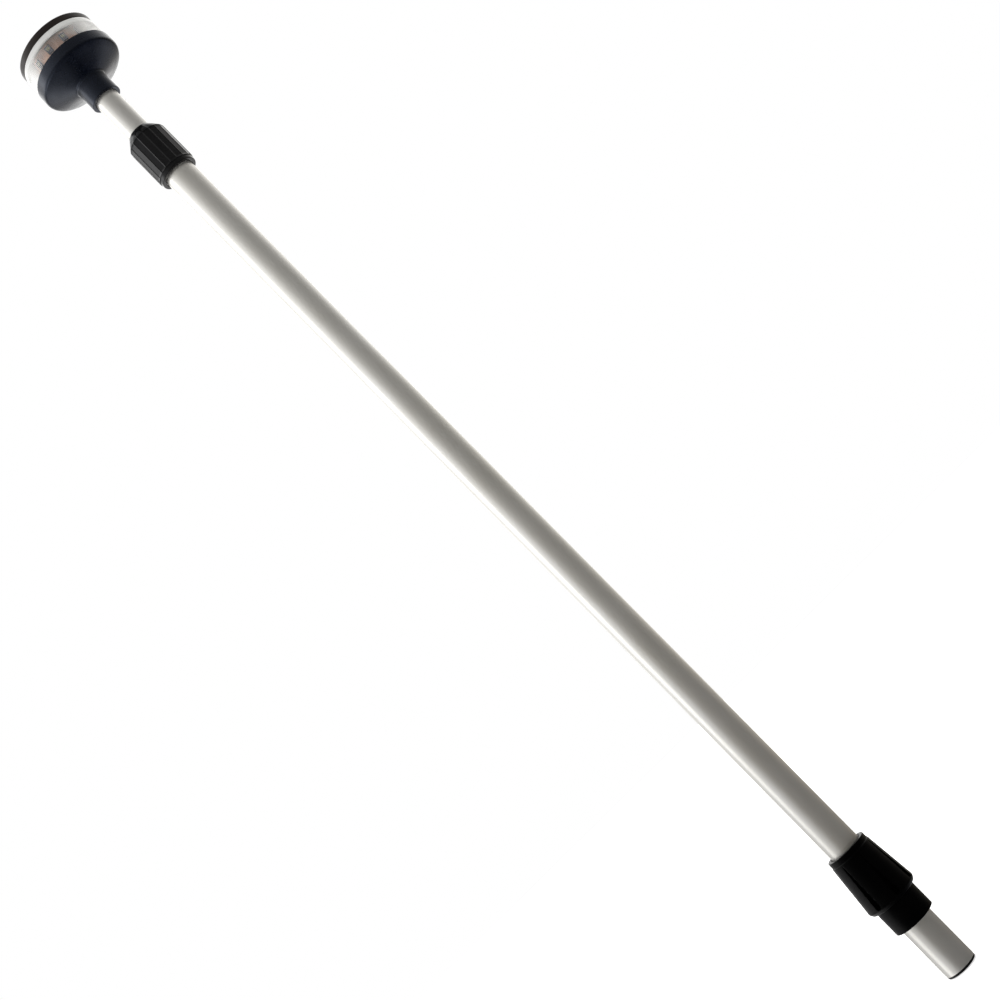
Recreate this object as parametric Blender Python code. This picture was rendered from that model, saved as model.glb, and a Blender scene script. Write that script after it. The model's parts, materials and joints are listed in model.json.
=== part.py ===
"""Telescoping plug-in all-round navigation light for a small boat.

The pole stands upright: +Z runs from the plug up to the lamp head, and the origin is the centre of the
plug's bottom face. Lengths are written in millimetres times MM, so every coordinate is in metres.
"""

import math

import bpy
import bmesh

MM = 0.001

# Driving dimensions of the pole
OUTER_R = 12.5 * MM
INNER_R = 10.0 * MM
TUBE_WALL = 1.5 * MM
GAP = 0.3 * MM
SLIDE_GAP = 0.5 * MM
PLUG_FLANGE = 1.4 * MM
OUTER_TUBE_TOP = 833.4 * MM
INNER_TUBE_BOTTOM = 178.0 * MM
INNER_TUBE_TOP = 912.6 * MM

# Winged collar that locks the pole to its deck base
WINGS = 7
WING_TURN = math.radians(-128.0)
LOCK_BOTTOM = 43.9 * MM
LOCK_STEP = 63.5 * MM
LOCK_WING_WIDEST = 66.1 * MM
LOCK_WING_TOP = 104.5 * MM
LOCK_TOP = 109.2 * MM
LOCK_R = 16.6 * MM
LOCK_WING_R = 20.7 * MM
LOCK_SHOULDER = 74.2 * MM

# Fluted twist collar that clamps the inner tube
FLUTES = 18
FLUTE_TURN = math.radians(-104.0)
KNOB_BOTTOM = 807.2 * MM
KNOB_FLUTES_BOTTOM = 810.8 * MM
KNOB_CONE = 844.9 * MM
KNOB_TOP = 853.3 * MM
KNOB_R = 16.7 * MM
KNOB_VALLEY_R = 16.25 * MM
KNOB_RING_R = 15.9 * MM
KNOB_TOP_R = 10.9 * MM
KNOB_LIP_R = 13.3 * MM
KNOB_SHOULDER = 845.2 * MM

# Lamp head
NECK_BOTTOM = 892.9 * MM
NECK_TOP = 910.8 * MM
NECK_R = 13.1 * MM
RIM_R = 35.9 * MM
RIM_BOTTOM = 923.4 * MM
RIM_TOP = 930.8 * MM
LENS_R = 34.6 * MM
LENS_WALL = 2.2 * MM
LENS_TOP = 947.4 * MM
CAP_BOTTOM = 947.7 * MM
CAP_EDGE_TOP = 953.4 * MM
CAP_CROWN = 955.6 * MM
BOARD_R = 27.2 * MM
LED_COUNT = 12
LED_TURN = math.radians(-99.5)
SCREW_CIRCLE_R = 14.5 * MM
SCREW_COUNT = 3

# Sides of a round piece, by how large it is
WIDE = 36
MIDDLE = 24
SMALL = 16
TINY = 10


def clear_scene():
    for obj in list(bpy.data.objects):
        bpy.data.objects.remove(obj, do_unlink=True)


def material(name, color, roughness, metallic=0.0, alpha=1.0):
    made = bpy.data.materials.new(name)
    made.use_nodes = True
    shader = made.node_tree.nodes["Principled BSDF"]
    shader.inputs["Base Color"].default_value = (*color, 1.0)
    shader.inputs["Roughness"].default_value = roughness
    shader.inputs["Metallic"].default_value = metallic
    shader.inputs["Alpha"].default_value = alpha
    made.diffuse_color = (*color, alpha)
    return made


def aluminium(name):
    return material(name, (0.62, 0.60, 0.56), 0.32, 0.9)


def black_plastic(name):
    return material(name, (0.022, 0.022, 0.024), 0.38)


def navy_plastic(name):
    return material(name, (0.020, 0.024, 0.034), 0.34)


def rubber(name):
    return material(name, (0.03, 0.03, 0.03), 0.75)


def nylon(name):
    return material(name, (0.75, 0.74, 0.68), 0.5)


def brass(name):
    return material(name, (0.72, 0.52, 0.22), 0.3, 1.0)


def steel(name):
    return material(name, (0.6, 0.6, 0.6), 0.28, 1.0)


def clear_plastic(name):
    return material(name, (0.93, 0.93, 0.90), 0.05, 0.0, 0.35)


def add_object(name, mesh, finish):
    mesh.shade_smooth()
    mesh.set_sharp_from_angle(angle=math.radians(32))
    mesh.materials.append(finish)
    obj = bpy.data.objects.new(name, mesh)
    bpy.context.scene.collection.objects.link(obj)
    return obj


def plain_radius(radius, height, angle):
    return radius


def turned_mesh(name, outline, sides, radius_at=plain_radius, turn=0.0):
    """Turns an outline of (radius, height) points about Z.

    The outline is a closed loop for a ring. It starts and ends on the axis for a solid piece.
    """
    bm = bmesh.new()
    rings = []
    for radius, height in outline:
        if radius == 0:
            rings.append([bm.verts.new((0, 0, height))])
            continue
        ring = []
        for side in range(sides):
            angle = turn + math.tau * side / sides
            reach = radius_at(radius, height, angle - turn)
            ring.append(bm.verts.new((reach * math.cos(angle), reach * math.sin(angle), height)))
        rings.append(ring)
    pairs = list(zip(rings, rings[1:]))
    if len(rings[0]) > 1:
        pairs.append((rings[-1], rings[0]))
    for lower, upper in pairs:
        for side in range(sides):
            following = (side + 1) % sides
            corners = [lower[side % len(lower)], lower[following % len(lower)]]
            corners += [upper[following % len(upper)], upper[side % len(upper)]]
            unique = list(dict.fromkeys(corners))
            if len(unique) > 2:
                bm.faces.new(unique)
    bmesh.ops.recalc_face_normals(bm, faces=bm.faces)
    mesh = bpy.data.meshes.new(name)
    bm.to_mesh(mesh)
    bm.free()
    return mesh


def turned(name, outline, finish, sides=MIDDLE, radius_at=plain_radius, turn=0.0):
    return add_object(name, turned_mesh(name, outline, sides, radius_at, turn), finish)


def ring(name, inner, outer, bottom, top, finish, sides=MIDDLE):
    outline = [(inner, bottom), (outer, bottom), (outer, top), (inner, top)]
    return turned(name, outline, finish, sides)


def seal(name, inner, outer, bottom, top, finish):
    """An O-ring, as a ring of lozenge section."""
    middle_r = (inner + outer) / 2
    middle = (bottom + top) / 2
    outline = [(middle_r, bottom), (outer, middle), (middle_r, top), (inner, middle)]
    return turned(name, outline, finish, MIDDLE)


def arc(centre, radius, start_deg, end_deg, steps):
    """Points of a round stretch of an outline, from one angle to the other."""
    points = []
    for step in range(steps + 1):
        angle = math.radians(start_deg + (end_deg - start_deg) * step / steps)
        points.append((centre[0] + radius * math.cos(angle), centre[1] + radius * math.sin(angle)))
    return points


def cutter(name, mesh, location=(0, 0, 0), rotation=(0, 0, 0)):
    obj = bpy.data.objects.new(name, mesh)
    bpy.context.scene.collection.objects.link(obj)
    obj.location = location
    obj.rotation_euler = rotation
    obj.hide_render = True
    obj.display_type = "WIRE"
    return obj


def cut(obj, tool):
    modifier = obj.modifiers.new(tool.name, "BOOLEAN")
    modifier.operation = "DIFFERENCE"
    modifier.solver = "EXACT"
    modifier.object = tool


def rod_mesh(name, radius, bottom, top, sides=TINY):
    """A plain round cutter, turned a little so that its corners miss its neighbours' edges."""
    outline = [(0, bottom), (radius, bottom), (radius, top), (0, top)]
    return turned_mesh(name, outline, sides, plain_radius, math.radians(7))


def box_mesh(name, size):
    bm = bmesh.new()
    bmesh.ops.create_cube(bm, size=1.0)
    bmesh.ops.scale(bm, vec=size, verts=bm.verts)
    mesh = bpy.data.meshes.new(name)
    bm.to_mesh(mesh)
    bm.free()
    return mesh


def lead(name, points, radius, finish):
    """A cable or wire along a smooth route, as a round tube with filled ends."""
    curve = bpy.data.curves.new(name, "CURVE")
    curve.dimensions = "3D"
    curve.bevel_depth = radius
    curve.bevel_resolution = 2
    curve.use_fill_caps = True
    spline = curve.splines.new("POLY")
    spline.points.add(len(points) - 1)
    for place, point in zip(spline.points, points):
        place.co = (*point, 1.0)
    curve.materials.append(finish)
    obj = bpy.data.objects.new(name, curve)
    bpy.context.scene.collection.objects.link(obj)
    return obj


def eased_route(start, end, steps, straight=0.8 * MM):
    """Points from start to end, with a short straight stretch along Z at each end."""
    points = [start]
    low = start[2] + straight
    high = end[2] - straight
    for step in range(steps + 1):
        share = step / steps
        sway = share * share * (3 - 2 * share)
        x = start[0] + (end[0] - start[0]) * sway
        y = start[1] + (end[1] - start[1]) * sway
        points.append((x, y, low + (high - low) * share))
    return points + [end]


def around(count, radius, turn=0.0):
    for index in range(count):
        angle = turn + math.tau * index / count
        yield index + 1, angle, (radius * math.cos(angle), radius * math.sin(angle))


# ---- Outer mast: tube, plug and lower wiring ----


def make_outer_tube():
    bore = OUTER_R - TUBE_WALL
    bottom = PLUG_FLANGE + GAP
    ring("outer_tube", bore, OUTER_R, bottom, OUTER_TUBE_TOP, aluminium("outer_tube"), WIDE)


CONTACT_X = 5.5 * MM
CONTACT_HOLE_R = 2.3 * MM
CONTACT_R = 2.0 * MM
PLUG_TOP = 26.0 * MM
PLUG_SPIGOT_R = OUTER_R - TUBE_WALL - GAP


def make_plug_insert():
    groove_r = 9.3 * MM
    outline = [(0, 0), (11.8 * MM, 0), (12.3 * MM, 0.5 * MM), (12.3 * MM, PLUG_FLANGE)]
    outline += [(PLUG_SPIGOT_R, PLUG_FLANGE), (PLUG_SPIGOT_R, 12.0 * MM), (groove_r, 12.0 * MM)]
    outline += [(groove_r, 14.4 * MM), (PLUG_SPIGOT_R, 14.4 * MM), (PLUG_SPIGOT_R, PLUG_TOP)]
    outline += [(0, PLUG_TOP)]
    plug = turned("plug_insert", outline, black_plastic("plug_insert"))
    for index, side in enumerate((-1, 1), 1):
        hole = rod_mesh(f"contact_hole_{index}", CONTACT_HOLE_R, -1.0 * MM, PLUG_TOP + 1.0 * MM)
        cut(plug, cutter(f"contact_hole_{index}", hole, (side * CONTACT_X, 0, 0)))


def make_contacts():
    """Two brass sockets: the deck base's pins push into them, and a wire is soldered to each top."""
    socket_bore = 1.1 * MM
    bottom = 0.5 * MM
    depth = 14.0 * MM
    top = 28.0 * MM
    outline = [(0, depth), (socket_bore, depth), (socket_bore, bottom), (CONTACT_R, bottom)]
    outline += [(CONTACT_R, top), (0, top)]
    for index, side in enumerate((-1, 1), 1):
        contact = turned(f"contact_{index}", outline, brass(f"contact_{index}"), TINY)
        contact.location = (side * CONTACT_X, 0, 0)


def make_plug_seal():
    seal("plug_seal", 9.6 * MM, 10.75 * MM, 12.3 * MM, 14.1 * MM, rubber("plug_seal"))


CABLE_R = 2.2 * MM
CABLE_HOLE_R = 2.5 * MM
COIL_BOTTOM = 56.0 * MM
COIL_TOP = 150.0 * MM
COIL_INNER_R = 4.4 * MM
COIL_OUTER_R = 8.6 * MM
COIL_MIDDLE_R = (COIL_INNER_R + COIL_OUTER_R) / 2


def make_lower_wiring():
    """The contacts' wires, the strain relief, and the sheathed lead up to the coil."""
    wire_r = 0.8 * MM
    for side, name, color in ((-1, "red", (0.45, 0.02, 0.02)), (1, "black", (0.02, 0.02, 0.02))):
        start = (side * CONTACT_X, 0, 28.3 * MM)
        end = (side * 1.1 * MM, 0, 36.7 * MM)
        wire = material(f"wire_{name}", color, 0.45)
        lead(f"wire_{name}", eased_route(start, end, 6), wire_r, wire)
    ring("lead_clamp", CABLE_HOLE_R, PLUG_SPIGOT_R, 39.0 * MM, 44.0 * MM, black_plastic("lead_clamp"))
    route = [(0, 0, 37.0 * MM)]
    route += eased_route((0, 0, 44.5 * MM), (COIL_MIDDLE_R, 0, COIL_BOTTOM - GAP), 6)
    lead("lower_lead", route, CABLE_R, rubber("lower_lead"))


def make_coiled_lead():
    """The outer shape of the coiled lead, which stretches as the mast is drawn out."""
    ring("coiled_lead", COIL_INNER_R, COIL_OUTER_R, COIL_BOTTOM, COIL_TOP, rubber("coiled_lead"), SMALL)


def make_stop_ring():
    finish = steel("collar_stop_ring")
    ring("collar_stop_ring", OUTER_R + GAP, 14.6 * MM, 70.0 * MM, 72.4 * MM, finish)


# ---- Winged locking collar ----


def wing_radius(radius, height, angle):
    """Full radius on a wing, and the collar's own radius in the groove between two wings.

    The grooves run out above the skirt's rounded lower edge.
    """
    if radius <= LOCK_R or height < LOCK_WING_WIDEST + 0.5 * MM:
        return radius
    share = (angle / math.tau * WINGS) % 1.0
    in_groove = min(share, 1.0 - share) < 0.01
    return LOCK_R if in_groove else radius


def make_locking_collar():
    """Hollow at the bottom for the deck base's threaded neck, with a bore for the tube above it."""
    bore = OUTER_R + SLIDE_GAP
    socket = 15.0 * MM
    crest = 14.3 * MM
    pitch = 6.0 * MM
    outline = [(socket + 0.2 * MM, LOCK_BOTTOM), (LOCK_R - 0.2 * MM, LOCK_BOTTOM)]
    outline += [(LOCK_R, LOCK_BOTTOM + 0.3 * MM), (LOCK_R, LOCK_STEP)]
    outline += [(18.9 * MM, LOCK_STEP + 0.3 * MM), (20.2 * MM, LOCK_STEP + 1.1 * MM)]
    outline += [(LOCK_WING_R, LOCK_WING_WIDEST), (20.5 * MM, 68.0 * MM)]
    outline += [(16.7 * MM, LOCK_WING_TOP)]
    outline += [(16.3 * MM, LOCK_WING_TOP + 0.2 * MM), (16.3 * MM, LOCK_TOP - 0.4 * MM)]
    outline += [(15.9 * MM, LOCK_TOP), (13.5 * MM, LOCK_TOP), (bore, LOCK_TOP - 0.8 * MM)]
    outline += [(bore, 100.2 * MM), (14.4 * MM, 100.2 * MM), (14.4 * MM, 97.8 * MM), (bore, 97.8 * MM)]
    outline += [(bore, LOCK_SHOULDER), (socket, LOCK_SHOULDER)]
    for turn in (2, 1):
        root = LOCK_BOTTOM + turn * pitch
        outline += [(socket, root + 0.8 * MM), (crest, root), (socket, root - 0.8 * MM)]
    sides = WINGS * 6
    finish = black_plastic("locking_collar")
    turned("locking_collar", outline, finish, sides, wing_radius, WING_TURN)


def make_collar_small_parts():
    seal("collar_seal", 12.8 * MM, 14.1 * MM, 98.1 * MM, 99.9 * MM, rubber("collar_seal"))
    ring("slip_washer", 12.9 * MM, 14.6 * MM, 72.7 * MM, 73.9 * MM, nylon("slip_washer"))


# ---- Twist clamp ----


def make_clamp_ferrule():
    """A threaded sleeve fixed over the outer tube's top, with a lip that the collet rests on."""
    root = 13.6 * MM
    crest = 14.3 * MM
    flank = 1.2 * MM
    inside = OUTER_R + GAP
    outline = [(inside, 812.0 * MM), (root, 812.0 * MM)]
    for turn in range(4):
        middle = (816.0 + turn * 5.4) * MM
        outline += [(root, middle - flank), (crest, middle), (root, middle + flank)]
    outline += [(root, 835.4 * MM), (10.9 * MM, 835.4 * MM)]
    outline += [(10.9 * MM, OUTER_TUBE_TOP + GAP), (inside, OUTER_TUBE_TOP + GAP)]
    turned("clamp_ferrule", outline, black_plastic("clamp_ferrule"))


def make_collet():
    """A split nylon ring that the twist collar squeezes onto the inner tube."""
    bore = INNER_R + GAP
    bottom = 835.7 * MM
    top = 843.4 * MM
    outline = [(bore, bottom), (13.6 * MM, bottom), (13.6 * MM, 837.9 * MM), (12.4 * MM, top)]
    outline += [(bore, top)]
    collet = turned("collet", outline, nylon("collet"))
    for index in range(3):
        slot = box_mesh(f"collet_slot_{index + 1}", (40 * MM, 0.9 * MM, 8 * MM))
        angle = math.radians(6) + math.pi * index / 3
        cut(collet, cutter(f"collet_slot_{index + 1}", slot, (0, 0, 842.4 * MM), (0, 0, angle)))


def knob_radius(radius, height, angle):
    """Ridges stand out at every second side of the body; the ends of the collar stay round."""
    if radius < KNOB_R:
        return radius
    side = round(angle / math.tau * FLUTES * 2)
    return KNOB_R if side % 2 == 0 else KNOB_VALLEY_R


def make_twist_collar():
    bore = 14.8 * MM
    mouth = INNER_R + 0.6 * MM
    groove = 12.2 * MM
    outline = [(KNOB_LIP_R, KNOB_BOTTOM), (KNOB_RING_R, KNOB_BOTTOM), (KNOB_RING_R, KNOB_FLUTES_BOTTOM)]
    outline += [(KNOB_R, KNOB_FLUTES_BOTTOM + 0.6 * MM), (KNOB_R, KNOB_CONE - 0.6 * MM)]
    outline += [(16.1 * MM, KNOB_CONE + 0.5 * MM), (KNOB_TOP_R + 0.3 * MM, KNOB_TOP - 0.4 * MM)]
    outline += [(KNOB_TOP_R, KNOB_TOP), (mouth, KNOB_TOP)]
    outline += [(mouth, 848.8 * MM), (groove, 848.8 * MM), (groove, 846.6 * MM), (mouth, 846.6 * MM)]
    outline += [(mouth, KNOB_SHOULDER), (14.0 * MM, KNOB_SHOULDER), (14.0 * MM, 839.4 * MM)]
    outline += [(bore, 836.4 * MM), (bore, 808.3 * MM), (KNOB_LIP_R, 808.3 * MM)]
    turned("twist_collar", outline, black_plastic("twist_collar"), FLUTES * 2, knob_radius, FLUTE_TURN)


def make_twist_small_parts():
    seal("wiper_seal", 10.3 * MM, 11.9 * MM, 846.9 * MM, 848.5 * MM, rubber("wiper_seal"))
    ring("clamp_washer", 10.6 * MM, 13.6 * MM, 843.7 * MM, 844.9 * MM, nylon("clamp_washer"))
    ring("collar_clip", 12.9 * MM, 14.5 * MM, 808.6 * MM, 810.0 * MM, steel("collar_clip"))


# ---- Inner mast ----

GROMMET_R = 4.7 * MM
TUBE_BORE_R = INNER_R - TUBE_WALL


def make_inner_tube():
    ring("inner_tube", TUBE_BORE_R, INNER_R, INNER_TUBE_BOTTOM, INNER_TUBE_TOP, aluminium("inner_tube"), WIDE)


def make_guide_bush():
    """A nylon bush on the inner tube's foot that keeps it centred in the outer tube."""
    flange_r = OUTER_R - TUBE_WALL - GAP
    hole = GROMMET_R + GAP
    spigot_r = TUBE_BORE_R - GAP
    foot = 168.0 * MM
    flange_top = INNER_TUBE_BOTTOM - GAP
    outline = [(hole, foot), (flange_r - 0.8 * MM, foot), (flange_r, foot + 0.8 * MM)]
    outline += [(flange_r, flange_top), (spigot_r, flange_top), (spigot_r, 188.0 * MM), (hole, 188.0 * MM)]
    turned("guide_bush", outline, nylon("guide_bush"))


def make_grommets():
    bottom = 165.4 * MM
    shoulder = 167.7 * MM
    outline = [(CABLE_HOLE_R, bottom), (6.5 * MM, bottom), (6.5 * MM, shoulder), (GROMMET_R, shoulder)]
    outline += [(GROMMET_R, 190.0 * MM), (CABLE_HOLE_R, 190.0 * MM)]
    turned("foot_grommet", outline, rubber("foot_grommet"), SMALL)
    finish = rubber("head_grommet")
    ring("head_grommet", CABLE_HOLE_R, TUBE_BORE_R - GAP, 903.0 * MM, 910.0 * MM, finish, SMALL)


def make_mast_lead():
    """The sheathed lead from the coil, up inside the inner tube to the lamp head."""
    route = eased_route((COIL_MIDDLE_R, 0, COIL_TOP + GAP), (0, 0, 163.5 * MM), 7)
    route += [(0, 0, 190.5 * MM)]
    start, end, waves, sway = 200.0, 895.0, 3, 2.4 * MM
    steps = 24
    for step in range(steps + 1):
        share = step / steps
        swing = sway * math.sin(math.tau * waves * share) * math.sin(math.pi * share)
        route.append((swing, swing * 0.5, (start + (end - start) * share) * MM))
    route += [(0, 0, 902.5 * MM), (0, 0, 915.6 * MM)]
    lead("mast_lead", route, CABLE_R, rubber("mast_lead"))


# ---- Lamp head ----

WELL_R = 18.0 * MM
WELL_FLOOR = 917.2 * MM
BOARD_LEDGE = 918.6 * MM
HEAD_FLOOR = 923.0 * MM
GASKET_LEDGE = 926.3 * MM
SEAT_R = 34.2 * MM


def make_housing():
    """Bowl and neck in one moulding: a shallow cup on top, and a socket for the inner tube below."""
    socket = INNER_R + 0.35 * MM
    groove = 12.0 * MM
    well_hole = 7.0 * MM
    outline = [(11.5 * MM, NECK_BOTTOM), (12.6 * MM, NECK_BOTTOM), (NECK_R, NECK_BOTTOM + 0.5 * MM)]
    outline += [(NECK_R, NECK_TOP)]
    outline += arc((16.1 * MM, NECK_TOP), 3.0 * MM, 150, 105, 2)
    outline += [(22.5 * MM, 915.9 * MM), (30.0 * MM, 919.1 * MM)]
    outline += arc((RIM_R - 3.2 * MM, RIM_BOTTOM), 3.2 * MM, -70, 0, 3)
    outline += [(RIM_R, RIM_TOP - 0.4 * MM), (RIM_R - 0.4 * MM, RIM_TOP), (SEAT_R, RIM_TOP)]
    outline += [(SEAT_R, GASKET_LEDGE), (31.5 * MM, GASKET_LEDGE), (31.5 * MM, HEAD_FLOOR)]
    outline += [(WELL_R, HEAD_FLOOR), (WELL_R, BOARD_LEDGE), (12.4 * MM, BOARD_LEDGE)]
    outline += [(12.4 * MM, WELL_FLOOR), (well_hole, WELL_FLOOR), (well_hole, INNER_TUBE_TOP + GAP)]
    outline += [(socket, INNER_TUBE_TOP + GAP), (socket, 901.2 * MM), (groove, 901.2 * MM)]
    outline += [(groove, 899.0 * MM), (socket, 899.0 * MM), (socket, NECK_BOTTOM + 1.2 * MM)]
    housing = turned("lamp_housing", outline, navy_plastic("lamp_housing"), WIDE)
    hole = rod_mesh("set_screw_hole", 1.8 * MM, 10.2 * MM, 14.5 * MM)
    cut(housing, cutter("set_screw_hole", hole, (0, 0, 907.0 * MM), (math.radians(-90), 0, 0)))
    for index, _, (x, y) in around(SCREW_COUNT, SCREW_CIRCLE_R, math.radians(90)):
        hole = rod_mesh(f"cap_screw_hole_{index}", 1.7 * MM, 914.7 * MM, 921.6 * MM)
        cut(housing, cutter(f"cap_screw_hole_{index}", hole, (x, y, 0)))


def make_set_screw():
    """A grub screw at the back of the neck that holds the head on the inner tube."""
    outline = [(0, 11.2 * MM), (0.7 * MM, 11.2 * MM), (0.7 * MM, 12.6 * MM), (1.2 * MM, 12.6 * MM)]
    outline += [(1.5 * MM, 12.3 * MM), (1.5 * MM, 10.9 * MM), (1.0 * MM, 10.35 * MM), (0, 10.35 * MM)]
    screw = turned("neck_set_screw", outline, steel("neck_set_screw"), TINY)
    screw.location = (0, 0, 907.0 * MM)
    screw.rotation_euler = (math.radians(-90), 0, 0)


def make_head_seals():
    seal("neck_seal", 10.3 * MM, 11.7 * MM, 899.3 * MM, 900.9 * MM, rubber("neck_seal"))
    ring("lens_gasket", 32.2 * MM, 33.9 * MM, 926.6 * MM, 928.3 * MM, rubber("lens_gasket"))
    ring("cap_gasket", 32.5 * MM, 33.7 * MM, CAP_BOTTOM, 949.7 * MM, rubber("cap_gasket"))


def make_lens():
    inside = LENS_R - LENS_WALL
    spigot_r = SEAT_R - GAP
    spigot_bottom = 928.6 * MM
    seat = RIM_TOP + GAP
    outline = [(inside, spigot_bottom), (spigot_r, spigot_bottom), (spigot_r, seat), (LENS_R, seat)]
    outline += [(LENS_R, LENS_TOP), (inside, LENS_TOP)]
    turned("lens", outline, clear_plastic("lens"), WIDE)


def make_top_cap():
    """A thin crowned cap. Its rim sits on the lens, and three long screws pull it down."""
    recess = 950.2 * MM
    outline = [(0, recess), (30.5 * MM, recess), (30.5 * MM, CAP_BOTTOM), (32.2 * MM, CAP_BOTTOM)]
    outline += [(32.2 * MM, 950.0 * MM), (34.0 * MM, 950.0 * MM), (34.0 * MM, CAP_BOTTOM)]
    outline += [(LENS_R, CAP_BOTTOM), (LENS_R, CAP_EDGE_TOP - 1.2 * MM), (33.9 * MM, CAP_EDGE_TOP - 0.3 * MM)]
    outline += [(32.6 * MM, CAP_EDGE_TOP), (20.0 * MM, 954.8 * MM), (0, CAP_CROWN)]
    cap = turned("top_cap", outline, black_plastic("top_cap"), WIDE)
    for index, _, (x, y) in around(SCREW_COUNT, SCREW_CIRCLE_R, math.radians(90)):
        bore = 1.7 * MM
        sink = 3.2 * MM
        step = 952.2 * MM
        outline = [(0, 946.6 * MM), (bore, 946.6 * MM), (bore, step), (sink, step)]
        outline += [(sink, 958.0 * MM), (0, 958.0 * MM)]
        tool = turned_mesh(f"cap_counterbore_{index}", outline, TINY)
        cut(cap, cutter(f"cap_counterbore_{index}", tool, (x, y, 0)))


def make_cap_screws():
    """Long pan-head screws through the cap and the board into the housing."""
    shank = 1.4 * MM
    head = 2.8 * MM
    seat = 952.5 * MM
    outline = [(0, 915.2 * MM), (shank, 915.8 * MM), (shank, seat), (head, seat), (head, 953.7 * MM)]
    outline += [(2.2 * MM, 954.3 * MM), (1.1 * MM, 954.3 * MM), (1.1 * MM, 953.3 * MM), (0, 953.3 * MM)]
    for index, _, (x, y) in around(SCREW_COUNT, SCREW_CIRCLE_R, math.radians(90)):
        screw = turned(f"cap_screw_{index}", outline, steel(f"cap_screw_{index}"), TINY)
        screw.location = (x, y, 0)


CARRIER_R = BOARD_R - 1.0 * MM
CARRIER_BOTTOM = HEAD_FLOOR + GAP
CARRIER_TOP = 949.6 * MM
CARRIER_FLANGE = 946.6 * MM


def make_led_carrier():
    """A bright flanged drum that carries the flexible LED board and takes the heat away from it."""
    inside = CARRIER_R - 2.0 * MM
    foot_r = 30.0 * MM
    foot_top = CARRIER_BOTTOM + 1.5 * MM
    plate = CARRIER_TOP - 2.0 * MM
    opening = 9.0 * MM
    outline = [(inside, CARRIER_BOTTOM), (foot_r, CARRIER_BOTTOM), (foot_r, foot_top)]
    outline += [(CARRIER_R, foot_top), (CARRIER_R, CARRIER_FLANGE), (28.5 * MM, CARRIER_FLANGE)]
    outline += [(28.5 * MM, CARRIER_TOP), (opening, CARRIER_TOP), (opening, plate), (inside, plate)]
    carrier = turned("led_carrier", outline, aluminium("led_carrier"))
    for index, _, (x, y) in around(SCREW_COUNT, SCREW_CIRCLE_R, math.radians(90)):
        hole = rod_mesh(f"carrier_hole_{index}", 1.8 * MM, 945.0 * MM, 952.0 * MM)
        cut(carrier, cutter(f"carrier_hole_{index}", hole, (x, y, 0)))


def make_led_board():
    board = material("led_board", (0.50, 0.36, 0.31), 0.5)
    ring("led_board", CARRIER_R + GAP, BOARD_R, 925.2 * MM, 946.3 * MM, board)


def make_leds():
    """White LEDs round the board, each a low square body facing outwards."""
    size = (1.5 * MM, 5.0 * MM, 6.8 * MM)
    middle_r = BOARD_R + GAP + size[0] / 2
    for index, angle, (x, y) in around(LED_COUNT, middle_r, LED_TURN):
        finish = material(f"led_{index}", (0.55, 0.50, 0.30), 0.3)
        led = add_object(f"led_{index}", box_mesh(f"led_{index}", size), finish)
        led.location = (x, y, 939.7 * MM)
        led.rotation_euler = (0, 0, angle)
        bevel = led.modifiers.new("edge", "BEVEL")
        bevel.width = 0.35 * MM
        bevel.segments = 1


def make_driver():
    board_r = WELL_R - 0.4 * MM
    bottom = BOARD_LEDGE + GAP
    top = bottom + 1.6 * MM
    board = turned(
        "driver_board",
        [(0, bottom), (board_r, bottom), (board_r, top), (0, top)],
        material("driver_board", (0.03, 0.16, 0.07), 0.4),
    )
    for index, _, (x, y) in around(SCREW_COUNT, SCREW_CIRCLE_R, math.radians(90)):
        hole = rod_mesh(f"driver_hole_{index}", 1.9 * MM, 916.8 * MM, 924.0 * MM)
        cut(board, cutter(f"driver_hole_{index}", hole, (x, y, 0)))
    base = top + GAP
    can_top = base + 9.0 * MM
    can = [(0, base), (3.6 * MM, base), (4.0 * MM, base + 0.5 * MM), (4.0 * MM, can_top - 0.4 * MM)]
    can += [(3.6 * MM, can_top), (0, can_top)]
    capacitor = turned("driver_capacitor", can, material("driver_capacitor", (0.1, 0.1, 0.12), 0.3), SMALL)
    capacitor.location = (0, -6.5 * MM, 0)
    for side, name, color in ((-1, "led_wire_red", (0.45, 0.02, 0.02)), (1, "led_wire_black", (0.02, 0.02, 0.02))):
        route = eased_route((side * 5.0 * MM, 5.0 * MM, base), (side * 7.2 * MM, 0, 949.0 * MM), 8)
        lead(name, route, 0.7 * MM, material(name, color, 0.45))


def main():
    clear_scene()
    make_outer_tube()
    make_plug_insert()
    make_contacts()
    make_plug_seal()
    make_lower_wiring()
    make_coiled_lead()
    make_stop_ring()
    make_locking_collar()
    make_collar_small_parts()
    make_clamp_ferrule()
    make_collet()
    make_twist_collar()
    make_twist_small_parts()
    make_inner_tube()
    make_guide_bush()
    make_grommets()
    make_mast_lead()
    make_housing()
    make_set_screw()
    make_head_seals()
    make_lens()
    make_top_cap()
    make_cap_screws()
    make_led_carrier()
    make_led_board()
    make_leds()
    make_driver()


main()
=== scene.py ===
"""Looks for the telescoping navigation light: detailed shells, procedural materials, light and camera."""

import json
import math

import bmesh
import bpy
from mathutils import Matrix, Vector


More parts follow.
